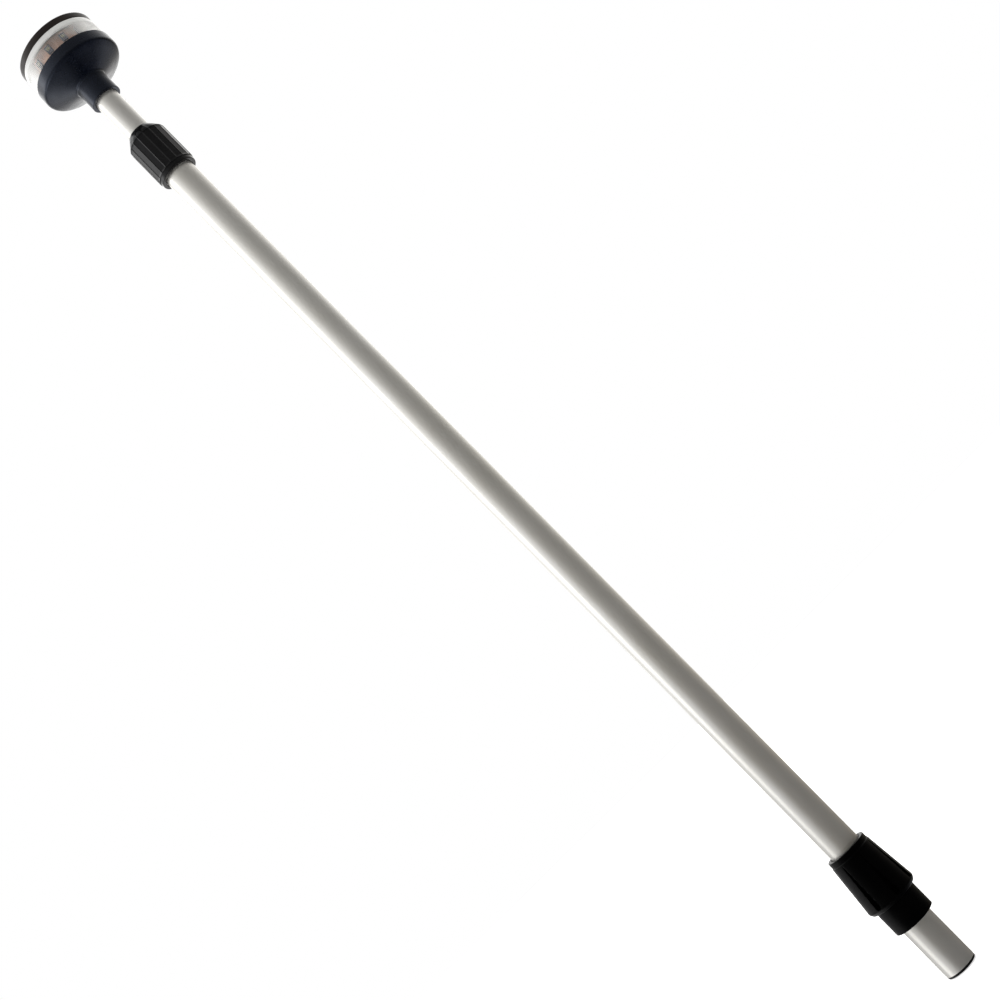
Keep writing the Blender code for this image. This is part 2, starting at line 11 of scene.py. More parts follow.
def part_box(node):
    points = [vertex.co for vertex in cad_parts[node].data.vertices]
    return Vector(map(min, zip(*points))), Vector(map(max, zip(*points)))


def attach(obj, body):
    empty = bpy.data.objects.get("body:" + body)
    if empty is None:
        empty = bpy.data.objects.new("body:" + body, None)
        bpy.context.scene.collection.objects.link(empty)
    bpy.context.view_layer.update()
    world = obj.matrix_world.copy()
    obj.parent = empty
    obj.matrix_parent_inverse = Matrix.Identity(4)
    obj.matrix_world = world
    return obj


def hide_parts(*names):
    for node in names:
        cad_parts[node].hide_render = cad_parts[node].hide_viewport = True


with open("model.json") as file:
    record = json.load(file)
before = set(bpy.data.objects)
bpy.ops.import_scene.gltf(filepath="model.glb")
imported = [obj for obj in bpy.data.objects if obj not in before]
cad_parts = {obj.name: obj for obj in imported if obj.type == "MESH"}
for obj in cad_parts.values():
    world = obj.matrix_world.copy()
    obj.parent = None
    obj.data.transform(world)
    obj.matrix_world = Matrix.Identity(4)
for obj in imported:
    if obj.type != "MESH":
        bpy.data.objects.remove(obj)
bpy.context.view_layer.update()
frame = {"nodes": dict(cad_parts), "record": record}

MM = 0.001


# ---- Shapes ----


def filleted(corners, steps=5):
    """A closed outline of (radius, height, fillet) corners, with each fillet as a short curve."""
    points = []
    for index, (radius, height, fillet) in enumerate(corners):
        here = Vector((radius, height))
        if fillet == 0:
            points.append((radius, height))
            continue
        before = Vector(corners[index - 1][:2]) - here
        after = Vector(corners[(index + 1) % len(corners)][:2]) - here
        half = before.angle(after) / 2
        reach = min(fillet / math.tan(half), 0.48 * before.length, 0.48 * after.length)
        start = here + before.normalized() * reach
        end = here + after.normalized() * reach
        for step in range(steps + 1):
            t = step / steps
            point = start * (1 - t) ** 2 + here * (2 * t * (1 - t)) + end * t**2
            points.append((point.x, point.y))
    return points


def refined(outline, low, high, step):
    """The outline with extra points where it runs between two heights, for a surface that varies there."""
    points = []
    for index, (radius, height) in enumerate(outline):
        points.append((radius, height))
        after = outline[(index + 1) % len(outline)]
        if not (low <= height <= high and low <= after[1] <= high):
            continue
        parts = int(abs(after[1] - height) / step)
        for part in range(1, parts):
            share = part / parts
            points.append((radius + (after[0] - radius) * share, height + (after[1] - height) * share))
    return points


def turned_mesh(name, outline, sides, radius_at=None, turn=0.0):
    """Turns a closed outline about Z. Points on the axis become single vertices."""
    vertices = []
    rings = []
    for radius, height in outline:
        start = len(vertices)
        if radius == 0:
            vertices.append((0, 0, height))
            rings.append([start] * sides)
            continue
        for side in range(sides):
            angle = turn + math.tau * side / sides
            reach = radius_at(radius, height, angle) if radius_at else radius
            vertices.append((reach * math.cos(angle), reach * math.sin(angle), height))
        rings.append(range(start, start + sides))
    faces = []
    for index, lower in enumerate(rings):
        upper = rings[(index + 1) % len(rings)]
        for side in range(sides):
            following = (side + 1) % sides
            corners = (lower[side], lower[following], upper[following], upper[side])
            unique = tuple(dict.fromkeys(corners))
            if len(unique) > 2:
                faces.append(unique)
    mesh = bpy.data.meshes.new(name)
    mesh.from_pydata(vertices, [], faces)
    bm = bmesh.new()
    bm.from_mesh(mesh)
    bmesh.ops.recalc_face_normals(bm, faces=bm.faces)
    bm.to_mesh(mesh)
    bm.free()
    return mesh


def add_piece(name, mesh, finish, body, nodes, sharp_deg=38.0):
    mesh.shade_smooth()
    mesh.set_sharp_from_angle(angle=math.radians(sharp_deg))
    piece = bpy.data.objects.new(name, mesh)
    bpy.context.scene.collection.objects.link(piece)
    piece.data.materials.append(finish)
    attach(piece, body)
    if nodes:
        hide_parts(*nodes)
    return piece


def cut_away(piece, tools):
    """Takes the tools out of the piece for good and removes them."""
    for tool in tools:
        modifier = piece.modifiers.new("cut", "BOOLEAN")
        modifier.operation = "DIFFERENCE"
        modifier.solver = "EXACT"
        modifier.object = tool
    graph = bpy.context.evaluated_depsgraph_get()
    mesh = bpy.data.meshes.new_from_object(piece.evaluated_get(graph))
    piece.modifiers.clear()
    piece.data = mesh
    for tool in tools:
        bpy.data.objects.remove(tool)


def tool_object(name, mesh, matrix):
    tool = bpy.data.objects.new(name, mesh)
    bpy.context.scene.collection.objects.link(tool)
    tool.matrix_world = matrix
    tool.data.materials.append(None)
    return tool


def box_mesh(name, size, round_edge=0.0):
    bm = bmesh.new()
    bmesh.ops.create_cube(bm, size=1.0)
    bmesh.ops.scale(bm, vec=size, verts=bm.verts)
    if round_edge:
        edges = bm.edges[:]
        bmesh.ops.bevel(bm, geom=edges, offset=round_edge, segments=3, affect="EDGES", profile=0.5)
    mesh = bpy.data.meshes.new(name)
    bm.to_mesh(mesh)
    bm.free()
    return mesh


def low(node):
    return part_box(node)[0]


def high(node):
    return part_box(node)[1]


def centre(node, axis):
    return (low(node)[axis] + high(node)[axis]) / 2


def outer_radius(node):
    return (high(node)[0] - low(node)[0]) / 2


# ---- Material building blocks ----


class Surface:
    """A Principled material with short helpers for procedural detail in object space."""

    def __init__(self, name, color, roughness, metallic=0.0):
        self.material = bpy.data.materials.new(name)
        self.material.use_nodes = True
        self.nodes = self.material.node_tree.nodes
        self.links = self.material.node_tree.links
        self.shader = self.nodes["Principled BSDF"]
        self.shader.inputs["Base Color"].default_value = (*color, 1.0)
        self.shader.inputs["Roughness"].default_value = roughness
        self.shader.inputs["Metallic"].default_value = metallic
        self.place = self.nodes.new("ShaderNodeTexCoord").outputs["Object"]

    def set(self, **values):
        for key, value in values.items():
            self.shader.inputs[key.replace("_", " ")].default_value = value
        return self

    def noise(self, scale, detail=4.0, stretch=(1, 1, 1), roughness=0.55):
        """Noise whose features are about 1/scale metres across, stretched by the factors."""
        mapping = self.nodes.new("ShaderNodeMapping")
        mapping.inputs["Scale"].default_value = stretch
        self.links.new(self.place, mapping.inputs["Vector"])
        noise = self.nodes.new("ShaderNodeTexNoise")
        noise.inputs["Scale"].default_value = scale
        noise.inputs["Detail"].default_value = detail
        noise.inputs["Roughness"].default_value = roughness
        self.links.new(mapping.outputs["Vector"], noise.inputs["Vector"])
        return noise.outputs["Fac"]

    def spread(self, value, low_in, high_in, low_out, high_out):
        node = self.nodes.new("ShaderNodeMapRange")
        node.inputs["From Min"].default_value = low_in
        node.inputs["From Max"].default_value = high_in
        node.inputs["To Min"].default_value = low_out
        node.inputs["To Max"].default_value = high_out
        self.links.new(value, node.inputs["Value"])
        return node.outputs["Result"]

    def mixed(self, factor, first, second):
        node = self.nodes.new("ShaderNodeMix")
        node.data_type = "RGBA"
        self.links.new(factor, node.inputs["Factor"])
        for socket, value in ((node.inputs["A"], first), (node.inputs["B"], second)):
            if isinstance(value, tuple):
                socket.default_value = (*value, 1.0)
            else:
                self.links.new(value, socket)
        return node.outputs["Result"]

    def color(self, value):
        self.links.new(value, self.shader.inputs["Base Color"])
        return self

    def roughness(self, value):
        self.links.new(value, self.shader.inputs["Roughness"])
        return self

    def height(self):
        split = self.nodes.new("ShaderNodeSeparateXYZ")
        self.links.new(self.place, split.inputs["Vector"])
        return split.outputs["Z"]

    def bump(self, value, depth, strength=1.0):
        node = self.nodes.new("ShaderNodeBump")
        node.inputs["Strength"].default_value = strength
        node.inputs["Distance"].default_value = depth
        self.links.new(value, node.inputs["Height"])
        earlier = self.shader.inputs["Normal"]
        if earlier.is_linked:
            self.links.new(earlier.links[0].from_socket, node.inputs["Normal"])
        self.links.new(node.outputs["Normal"], earlier)
        return self


def drawn_aluminium():
    """Clear-anodised tube: fine lines along its length, faint clouding, a few shallow scuffs."""
    made = Surface("drawn_aluminium", (0.66, 0.645, 0.61), 0.3, 0.85)
    lines = made.noise(900, 3, (1, 1, 0.012))
    clouds = made.noise(28, 4, (1, 1, 0.5))
    scuffs = made.noise(140, 6, (1, 1, 0.25), 0.7)
    tone = made.mixed(made.spread(clouds, 0.3, 0.7, 0, 1), (0.64, 0.625, 0.585), (0.70, 0.69, 0.665))
    tone = made.mixed(made.spread(scuffs, 0.66, 0.74, 0, 0.5), tone, (0.60, 0.585, 0.55))
    made.color(tone)
    made.roughness(made.spread(lines, 0.25, 0.75, 0.29, 0.40))
    made.bump(lines, 0.00002, 0.12)
    return made.material


def machined_aluminium():
    made = Surface("machined_aluminium", (0.66, 0.65, 0.62), 0.28, 1.0)
    marks = made.noise(1500, 2, (0.05, 0.05, 1))
    made.color(made.mixed(made.noise(120), (0.62, 0.61, 0.58), (0.70, 0.69, 0.67)))
    made.roughness(made.spread(marks, 0.3, 0.7, 0.22, 0.4))
    made.bump(marks, 0.00003, 0.3)
    return made.material


def moulded_plastic(name, dark, light, gloss, sheen, grain=0.00003, index=1.5):
    """Moulded plastic: a fine even grain, faint flow clouds, and slightly worn gloss.

    The sheen tints what it mirrors squarely; it stays glossy at a glance.
    """
    made = Surface(name, dark, gloss)
    grit = made.noise(2600, 3)
    clouds = made.noise(55, 3)
    made.color(made.mixed(made.spread(clouds, 0.3, 0.7, 0, 1), dark, light))
    smudges = made.noise(160, 5)
    made.roughness(made.spread(smudges, 0.35, 0.75, gloss - 0.05, gloss + 0.09))
    made.bump(grit, grain, 0.6)
    made.shader.inputs["Specular Tint"].default_value = (*sheen, 1.0)
    return made.set(IOR=index).material


def rubber():
    made = Surface("black_rubber", (0.025, 0.025, 0.026), 0.75)
    made.color(made.mixed(made.noise(300), (0.018, 0.018, 0.019), (0.04, 0.04, 0.04)))
    made.roughness(made.spread(made.noise(500), 0.3, 0.7, 0.65, 0.85))
    made.bump(made.noise(1800), 0.00004, 0.6)
    return made.material


def nylon():
    made = Surface("white_nylon", (0.75, 0.74, 0.68), 0.45)
    made.color(made.mixed(made.noise(150), (0.70, 0.69, 0.62), (0.80, 0.79, 0.74)))
    made.bump(made.noise(900), 0.00003, 0.5)
    return made.set(Subsurface_Weight=0.15).material


def metal(name, dark, light, gloss):
    made = Surface(name, dark, gloss, 1.0)
    made.color(made.mixed(made.noise(260, 5), dark, light))
    made.roughness(made.spread(made.noise(700, 4), 0.3, 0.7, gloss - 0.06, gloss + 0.1))
    made.bump(made.noise(1500, 2, (1, 1, 0.2)), 0.00002, 0.4)
    return made.material


def clear_plastic():
    """Clear polycarbonate: see-through from the front and milky in the smooth band on top. At a glance it
    turns opaque, and its white base colour there is a painted reflection beside the shader's own gloss.
    """
    band_low = 942.9 * MM
    band_high = 943.5 * MM
    made = Surface("clear_plastic", (0.93, 0.93, 0.91), 0.1)
    made.set(Alpha=0.3, IOR=1.6)
    made.color(made.mixed(made.noise(60, 3), (0.90, 0.90, 0.88), (0.96, 0.96, 0.95)))
    made.roughness(made.spread(made.noise(240, 4), 0.4, 0.8, 0.07, 0.14))
    # Painted reflection: opacity rises towards a glance, so the white base colour stands in for the
    # glancing reflection.
    glance = made.nodes.new("ShaderNodeLayerWeight")
    glance.inputs["Blend"].default_value = 0.5
    painted_glance_reflection = made.spread(glance.outputs["Facing"], 0.24, 0.62, 0.05, 0.85)
    band = made.spread(made.height(), band_low, band_high, 0.0, 0.5)
    either = made.nodes.new("ShaderNodeMath")
    either.operation = "MAXIMUM"
    made.links.new(painted_glance_reflection, either.inputs[0])
    made.links.new(band, either.inputs[1])
    made.links.new(either.outputs["Value"], made.shader.inputs["Alpha"])
    return made.material


def circuit_board(name, base, trace, scale, metallic=0.0):
    """Solder mask over copper tracks, drawn as thin even bands."""
    made = Surface(name, base, 0.4, metallic)
    bands = made.noise(scale, 1, (1, 1, 0.35), 0.2)
    tracks = made.spread(bands, 0.49, 0.51, 0, 1)
    made.color(made.mixed(tracks, base, trace))
    made.roughness(made.spread(made.noise(400), 0.3, 0.7, 0.32, 0.5))
    made.bump(tracks, 0.00003, 0.4)
    return made.material


def insulation(name, dark, light):
    made = Surface(name, dark, 0.42)
    made.color(made.mixed(made.noise(500), dark, light))
    made.bump(made.noise(1500), 0.00002, 0.5)
    return made.material


MATERIALS = {
    "bare_aluminium": drawn_aluminium(),
    "machined_aluminium": machined_aluminium(),
    "black_plastic": moulded_plastic(
        "black_plastic",
        dark=(0.0035, 0.0035, 0.0037),
        light=(0.005, 0.005, 0.0052),
        gloss=0.2,
        sheen=(0.28, 0.28, 0.29),
    ),
    "navy_plastic": moulded_plastic(
        "navy_plastic",
        dark=(0.0012, 0.0018, 0.0036),
        light=(0.002, 0.0028, 0.0056),
        gloss=0.27,
        sheen=(0.55, 0.62, 0.8),
        grain=0.00001,
    ),
    "white_nylon": nylon(),
    "black_rubber": rubber(),
    "contact_brass": metal("contact_brass", (0.68, 0.47, 0.19), (0.80, 0.60, 0.30), 0.25),
    "stainless_steel": metal("stainless_steel", (0.55, 0.55, 0.55), (0.68, 0.68, 0.67), 0.26),
    "clear_plastic": clear_plastic(),
    "copper_board": circuit_board("copper_board", (0.56, 0.36, 0.28), (0.64, 0.42, 0.33), 330, 0.75),
    "led_phosphor": insulation("led_phosphor", (0.13, 0.125, 0.06), (0.20, 0.19, 0.09)),
    "green_board": circuit_board("green_board", (0.012, 0.10, 0.035), (0.03, 0.19, 0.07), 420),
    "capacitor_sleeve": insulation("capacitor_sleeve", (0.03, 0.03, 0.05), (0.05, 0.05, 0.07)),
    "red_insulation": insulation("red_insulation", (0.35, 0.012, 0.012), (0.48, 0.03, 0.025)),
    "black_insulation": insulation("black_insulation", (0.015, 0.015, 0.015), (0.03, 0.03, 0.03)),
}
CAP_BLACK = moulded_plastic(
    "cap_black",
    dark=(0.011, 0.0085, 0.008),
    light=(0.016, 0.0125, 0.011),
    gloss=0.4,
    sheen=(0.3, 0.28, 0.27),
)
COLLAR_BLACK = moulded_plastic(
    "collar_black",
    dark=(0.0003, 0.0003, 0.00035),
    light=(0.0006, 0.0006, 0.00065),
    gloss=0.4,
    sheen=(0.03, 0.03, 0.03),
    index=1.25,
)


def finish_cad_nodes():
    """Every CAD node gets the procedural material of its slot; replaced nodes are hidden later."""
    for entry in frame["record"]["subparts"]:
        node = frame["nodes"][entry["node"]]
        node.data.materials.clear()
        node.data.materials.append(MATERIALS[entry["material_slot"]])


# ---- Tubes ----


def tube_shell(name, node, body):
    wall = 1.5 * MM
    edge = 0.35 * MM
    radius = outer_radius(node)
    inner_radius = radius - wall
    bottom = low(node)[2]
    top = high(node)[2]
    corners = [(inner_radius, bottom, edge), (radius, bottom, edge)]
    corners += [(radius, top, edge), (inner_radius, top, edge)]
    mesh = turned_mesh(name, filleted(corners), 128)
    return add_piece(name, mesh, MATERIALS["bare_aluminium"], body, [node])


def make_tubes():
    tube_shell("outer_tube_shell", "outer_tube", "outer_mast")
    tube_shell("inner_tube_shell", "inner_tube", "inner_mast")


# ---- Plug end ----

CONTACTS = ("contact_1", "contact_2")


def make_plug():
    """The plug's end face with a shallow ring in it, the seal's groove, and a flared hole per contact."""
    spigot, flange_top = 10.7 * MM, 1.4 * MM
    groove, groove_low, groove_high = 9.3 * MM, 12.0 * MM, 14.4 * MM
    ring_in, ring_out, ring_depth, ring_slope = 7.9 * MM, 9.7 * MM, 0.6 * MM, 0.4 * MM
    rim = outer_radius("plug_insert")
    top = high("plug_insert")[2]
    soft = 0.2 * MM
    corners = [(0, 0, 0), (ring_in, 0, soft), (ring_in + ring_slope, ring_depth, soft)]
    corners += [(ring_out - ring_slope, ring_depth, soft), (ring_out, 0, soft), (rim, 0, 0.5 * MM)]
    corners += [(rim, flange_top, soft), (spigot, flange_top, 0), (spigot, groove_low, 0)]
    corners += [(groove, groove_low, soft), (groove, groove_high, soft), (spigot, groove_high, 0)]
    corners += [(spigot, top, 0.5 * MM), (0, top, 0)]
    mesh = turned_mesh("plug_face", filleted(corners), 96)
    plug = add_piece("plug_face", mesh, MATERIALS["black_plastic"], "outer_mast", ["plug_insert"])
    below, above = -2 * MM, 40 * MM
    hole_r, mouth_r = 2.3 * MM, 2.9 * MM
    tools = []
    for node in CONTACTS:
        hole = [(0, below), (mouth_r, below), (hole_r, ring_depth), (hole_r, above), (0, above)]
        hole_mesh = turned_mesh("contact_hole", hole, 40)
        place = Matrix.Translation((centre(node, 0), 0, 0))
        tools.append(tool_object("contact_hole", hole_mesh, place))
    cut_away(plug, tools)
    for node in CONTACTS:
        make_contact(node)


def make_contact(node):
    """A turned brass socket with a flared mouth, four spring slots and a solder cup."""
    radius = outer_radius(node)
    middle = centre(node, 0)
    bottom = low(node)[2]
    top = high(node)[2]
    bore, flare = 1.1 * MM, 0.4 * MM
    bore_end = bottom + 13.5 * MM
    waist, waist_low, waist_high = 1.75 * MM, bottom + 8 * MM, bottom + 10.4 * MM
    cup, cup_foot, cup_end = 1.3 * MM, 1.2 * MM, top - 3 * MM
    soft = 0.1 * MM
    corners = [(0, bore_end, 0), (bore, bore_end, 0), (bore, bottom + flare, soft)]
    corners += [(bore + flare, bottom, soft), (radius, bottom, 0.15 * MM), (radius, waist_low, soft)]
    corners += [(waist, waist_low + 0.4 * MM, soft), (waist, waist_high - 0.4 * MM, soft)]
    corners += [(radius, waist_high, soft), (radius, top, 0.15 * MM), (cup, top, soft)]
    corners += [(cup_foot, cup_end, 0), (0, cup_end, 0)]
    mesh = turned_mesh(node + "_socket", filleted(corners, 3), 40)
    mesh.transform(Matrix.Translation((middle, 0, 0)))
    socket = add_piece(node + "_socket", mesh, MATERIALS["contact_brass"], "outer_mast", [node])
    slots = []
    for turn in (math.radians(45), math.radians(135)):
        slot = box_mesh("spring_slot", (6 * MM, 0.35 * MM, 12 * MM))
        place = Matrix.Translation((middle, 0, bottom + 1 * MM)) @ Matrix.Rotation(turn, 4, "Z")
        slots.append(tool_object("spring_slot", slot, place))
    cut_away(socket, slots)


# ---- Winged locking collar ----

WINGS = 7
WING_GROOVE = math.radians(-128.0)
WING_R = 20.7 * MM
WING_TOP = 104.5 * MM
LOCK_R = 16.6 * MM
LOCK_STEP = 63.5 * MM
GROOVE_LOW = 66.9 * MM
GROOVE_HIGH = 103.5 * MM


def wing_radius(radius, height, angle):
    """Grooves cut the flared skirt down to the collar's own radius. They widen on their way down."""
    if radius <= LOCK_R or not GROOVE_LOW < height < GROOVE_HIGH:
        return radius
    pitch = math.tau / WINGS
    offset = (angle - WING_GROOVE + pitch / 2) % pitch - pitch / 2
    away = abs(offset) * LOCK_R
    share = (GROOVE_HIGH - height) / (GROOVE_HIGH - GROOVE_LOW)
    half_width = (0.35 + 1.35 * share) * MM
    end_round = 1.7 * MM
    if height < GROOVE_LOW + end_round:
        drop = (GROOVE_LOW + end_round - height) / end_round
        half_width *= math.sqrt(max(0.0, 1 - drop * drop))
    edge = 0.55 * MM
    rise = min(1.0, max(0.0, (away - half_width + edge / 2) / edge))
    rise = rise * rise * (3 - 2 * rise)
    return LOCK_R + (radius - LOCK_R) * rise


def make_locking_collar():
    """The winged collar: flared wings, a ring on top, and a threaded socket and seal groove inside."""
    bottom = low("locking_collar")[2]
    top = high("locking_collar")[2]
    bore, socket, crest = 13.0 * MM, 15.0 * MM, 14.3 * MM
    shoulder = 74.2 * MM
    ring_r = 16.3 * MM
    seal_low, seal_high, seal_r = 97.8 * MM, 100.2 * MM, 14.4 * MM
    pitch, turns = 4.0 * MM, 4
    corners = [(socket + 0.2 * MM, bottom, 0.1 * MM), (LOCK_R, bottom, 0.3 * MM)]
    corners += [(LOCK_R, LOCK_STEP, 0.4 * MM), (WING_R - 1.5 * MM, LOCK_STEP + 0.1 * MM, 1.4 * MM)]
    corners += [(WING_R, 66.3 * MM, 1.6 * MM), (LOCK_R + 0.15 * MM, WING_TOP, 0.5 * MM)]
    corners += [(ring_r, WING_TOP + 0.5 * MM, 0.15 * MM), (ring_r, top, 0.45 * MM)]
    corners += [(bore + 0.9 * MM, top, 0.3 * MM), (bore, top - 1.4 * MM, 0.2 * MM)]
    corners += [(bore, seal_high, 0), (seal_r, seal_high, 0.1 * MM), (seal_r, seal_low, 0.1 * MM)]
    corners += [(bore, seal_low, 0), (bore, shoulder, 0.2 * MM), (socket, shoulder, 0)]
    for turn in range(turns, 0, -1):
        middle = bottom + turn * pitch
        corners += [(socket, middle + pitch / 4, 0), (crest, middle, 0.25 * MM)]
        corners += [(socket, middle - pitch / 4, 0)]
    outline = refined(filleted(corners), LOCK_STEP, WING_TOP + 0.4 * MM, 0.35 * MM)
    mesh = turned_mesh("locking_collar_shell", outline, 448, wing_radius, WING_GROOVE)
    add_piece("locking_collar_shell", mesh, COLLAR_BLACK, "deck_collar", ["locking_collar"], 50)


# ---- Twist clamp ----

FLUTES = 18
FLUTE_EDGE = math.radians(-104.0)
KNOB_R = 16.7 * MM
FLAT_LOW = 810.9 * MM
FLAT_HIGH = 845.1 * MM


def knob_radius(radius, height, angle):
    """Eighteen flats with a fine rib along each corner, fading into the round ends."""
    if radius < KNOB_R - 1.2 * MM or not FLAT_LOW < height < FLAT_HIGH:
        return radius
    pitch = math.tau / FLUTES
    offset = (angle - FLUTE_EDGE + pitch / 2) % pitch - pitch / 2
    from_middle = pitch / 2 - abs(offset)
    rib_step = 0.28 * MM
    flat = (KNOB_R - rib_step) * math.cos(pitch / 2) / math.cos(from_middle)
    rib_half = math.radians(1.5)
    rib_rise = 0.34 * MM
    rib = max(0.0, 1 - abs(offset) / rib_half) * rib_rise
    fade = min(1.0, (height - FLAT_LOW) / (0.9 * MM), (FLAT_HIGH - height) / (0.7 * MM))
    return radius + (min(KNOB_R, flat + rib) - KNOB_R) * fade


def make_twist_collar():
    """The fluted collar: a lip at its foot, a straight cone on top, and a seat and seal groove inside."""
    bottom = low("twist_collar")[2]
    top = high("twist_collar")[2]
    lip, lip_top = 13.0 * MM, 808.3 * MM
    bore, throat, seat_low, seat_high = 14.8 * MM, 14.0 * MM, 836.4 * MM, 839.4 * MM
    ring_r, ring_top = 15.9 * MM, 810.5 * MM
    grip_low, grip_high = 811.1 * MM, 844.8 * MM
    mouth, groove = 10.6 * MM, 12.2 * MM
    shoulder, seal_low, seal_high = 845.2 * MM, 846.6 * MM, 848.8 * MM
    top_r = 10.9 * MM
    corners = [(lip, bottom, 0.35 * MM), (ring_r, bottom, 0.7 * MM), (ring_r, ring_top, 0.2 * MM)]
    corners += [(KNOB_R, grip_low, 0.4 * MM), (KNOB_R, grip_high, 0.5 * MM)]
    corners += [(top_r + 0.15 * MM, top - 0.3 * MM, 0.3 * MM), (top_r, top, 0.15 * MM)]
    corners += [(mouth, top, 0.1 * MM), (mouth, seal_high, 0), (groove, seal_high, 0)]
    corners += [(groove, seal_low, 0), (mouth, seal_low, 0), (mouth, shoulder, 0), (throat, shoulder, 0)]
    corners += [(throat, seat_high, 0), (bore, seat_low, 0), (bore, lip_top, 0), (lip, lip_top, 0.1 * MM)]
    outline = refined(filleted(corners), ring_top - 0.1 * MM, grip_high + 1.0 * MM, 0.9 * MM)
    mesh = turned_mesh("twist_collar_shell", outline, FLUTES * 24, knob_radius, FLUTE_EDGE)
    black = MATERIALS["black_plastic"]
    add_piece("twist_collar_shell", mesh, black, "clamp_collar", ["twist_collar"], 50)


# ---- Lamp head ----

TO_BACK = Matrix.Rotation(math.radians(-90), 4, "X")  # turns the Z axis to point at the back
SCREW_HOLE_R = 1.7 * MM


def make_housing():
    """Bowl and neck in one, with the tube's socket, a seal groove, the board's well and screw holes."""
    bottom = low("lamp_housing")[2]
    top = high("lamp_housing")[2]
    rim = outer_radius("lamp_housing")
    neck, neck_top = 13.1 * MM, 912.2 * MM
    socket, lead_hole = 10.35 * MM, 7.0 * MM
    groove, groove_low, groove_high = 12.0 * MM, 899.0 * MM, 901.2 * MM
    tube_stop = high("inner_tube")[2] + 0.3 * MM
    seat, ledge = 34.2 * MM, 926.3 * MM
    floor_r, floor = 31.5 * MM, 923.0 * MM
    shelf_r, shelf = 18.0 * MM, 918.6 * MM
    well_r, well = 12.4 * MM, 917.2 * MM
    soft = 0.2 * MM
    corners = [(10.4 * MM, bottom, 0.1 * MM), (neck, bottom, 0.5 * MM), (neck, neck_top, 2.4 * MM)]
    corners += [(30.5 * MM, 919.0 * MM, 9 * MM), (rim, 921.2 * MM, 3.0 * MM), (rim, top, 0.35 * MM)]
    corners += [(seat, top, 0.3 * MM), (seat, ledge, 0), (floor_r, ledge, soft)]
    corners += [(floor_r, floor, 0.6 * MM), (shelf_r, floor, 0.3 * MM), (shelf_r, shelf, soft)]
    corners += [(well_r, shelf, soft), (well_r, well, soft), (lead_hole, well, soft)]
    corners += [(lead_hole, tube_stop, 0), (socket, tube_stop, soft), (socket, groove_high, 0)]
    corners += [(groove, groove_high, 0), (groove, groove_low, 0), (socket, groove_low, 0)]
    corners += [(socket, bottom + 1.4 * MM, 0.3 * MM)]
    mesh = turned_mesh("lamp_housing_shell", filleted(corners, 7), 160)
    navy = MATERIALS["navy_plastic"]
    housing = add_piece("lamp_housing_shell", mesh, navy, "inner_mast", ["lamp_housing"])
    hole_r, hole_start, hole_end = 1.8 * MM, 10.2 * MM, 15 * MM
    hole = [(0, hole_start), (hole_r, hole_start), (hole_r, hole_end), (0, hole_end)]
    place = Matrix.Translation((0, 0, centre("neck_set_screw", 2))) @ TO_BACK
    tools = [tool_object("drill", turned_mesh("drill", hole, 40), place)]
    tools += screw_drills("housing_drill", SCREW_HOLE_R, 914.7 * MM, 926 * MM)
    cut_away(housing, tools)


def screw_places():
    for index in (1, 2, 3):
        node = f"cap_screw_{index}"
        yield index, (centre(node, 0), centre(node, 1))


def screw_drills(name, radius, bottom, top):
    tools = []
    for _, (x, y) in screw_places():
        mesh = turned_mesh(name, [(0, bottom), (radius, bottom), (radius, top), (0, top)], 32)
        place = Matrix.Translation((x, y, 0)) @ Matrix.Rotation(0.1, 4, "Z")
        tools.append(tool_object(name, mesh, place))
    return tools


LENS_FLUTES = 150
LENS_FLUTE_LOW = 931.6 * MM
LENS_BAND = 943.2 * MM
LENS_R = outer_radius("lens")
LEDS = 12


def lens_radius(radius, height, angle):
    """Fine convex prisms on the outside below the smooth band, and none elsewhere."""
    if radius < LENS_R - 0.4 * MM or not LENS_FLUTE_LOW <= height <= LENS_BAND:
        return radius
    flute_depth = 0.30 * MM
    share = (angle * LENS_FLUTES / math.tau) % 1.0
    return radius - flute_depth * (1 - math.sin(math.pi * share))


def make_lens():
    """The lens drum, with a spigot in the bowl and a thicker band on top."""
    radius = LENS_R
    bottom = low("lens")[2]
    top = high("lens")[2]
    inside = radius - 2.2 * MM
    spigot = 33.9 * MM
    seat = high("lamp_housing")[2] + 0.3 * MM
    corners = [(inside, bottom, 0.2 * MM), (spigot, bottom, 0.2 * MM), (spigot, seat, 0)]
    corners += [(radius, seat, 0.15 * MM), (radius, LENS_BAND, 0.1 * MM)]
    corners += [(radius, top, 0.25 * MM), (inside, top, 0.15 * MM)]
    corners += [(inside, LENS_BAND + 0.6 * MM, 0.3 * MM), (inside + 0.5 * MM, LENS_BAND, 0.3 * MM)]
    corners += [(inside + 0.3 * MM, seat + 2 * MM, 1 * MM)]
    outline = refined(filleted(corners, 4), seat, LENS_BAND, 2.5 * MM)
    mesh = turned_mesh("lens_shell", outline, LENS_FLUTES * 6, lens_radius)
    add_piece("lens_shell", mesh, MATERIALS["clear_plastic"], "inner_mast", ["lens"], 60)


